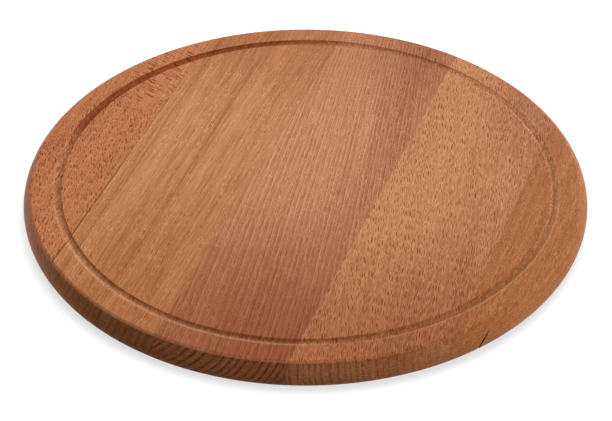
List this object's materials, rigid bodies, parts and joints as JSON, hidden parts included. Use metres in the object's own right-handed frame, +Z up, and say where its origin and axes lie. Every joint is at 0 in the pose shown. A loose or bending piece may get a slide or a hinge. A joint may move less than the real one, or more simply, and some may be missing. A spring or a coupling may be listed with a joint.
{
  "type": "round cutting board",
  "caption": "Round beech cutting board of edge-glued staves, turned to a disc with a bowed side, eased edges and a narrow juice groove near the rim; lies flat on a worktop.",
  "frame": {"origin": "centre of the flat underside, on the surface that the board lies on", "axes": "+Z up, out of the working face; +Y along the grain of the staves; +X across the staves"},
  "size_m": [0.3, 0.3, 0.016],
  "materials": {
    "beech_reddish": "sanded, lightly oiled",
    "beech_tan": "sanded, lightly oiled",
    "beech_pink": "sanded, lightly oiled",
    "beech_flecked": "sanded, lightly oiled",
    "beech_plain": "sanded, lightly oiled",
    "wood_glue": "hardened wood glue, sanded flush"
  },
  "bodies": {
    "root": {"stave_1": "beech_reddish", "stave_2": "beech_tan", "stave_3": "beech_pink", "stave_4": "beech_flecked", "stave_5": "beech_plain", "glue_line_1": "wood_glue", "glue_line_2": "wood_glue", "glue_line_3": "wood_glue", "glue_line_4": "wood_glue"}
  },
  "joints": []
}
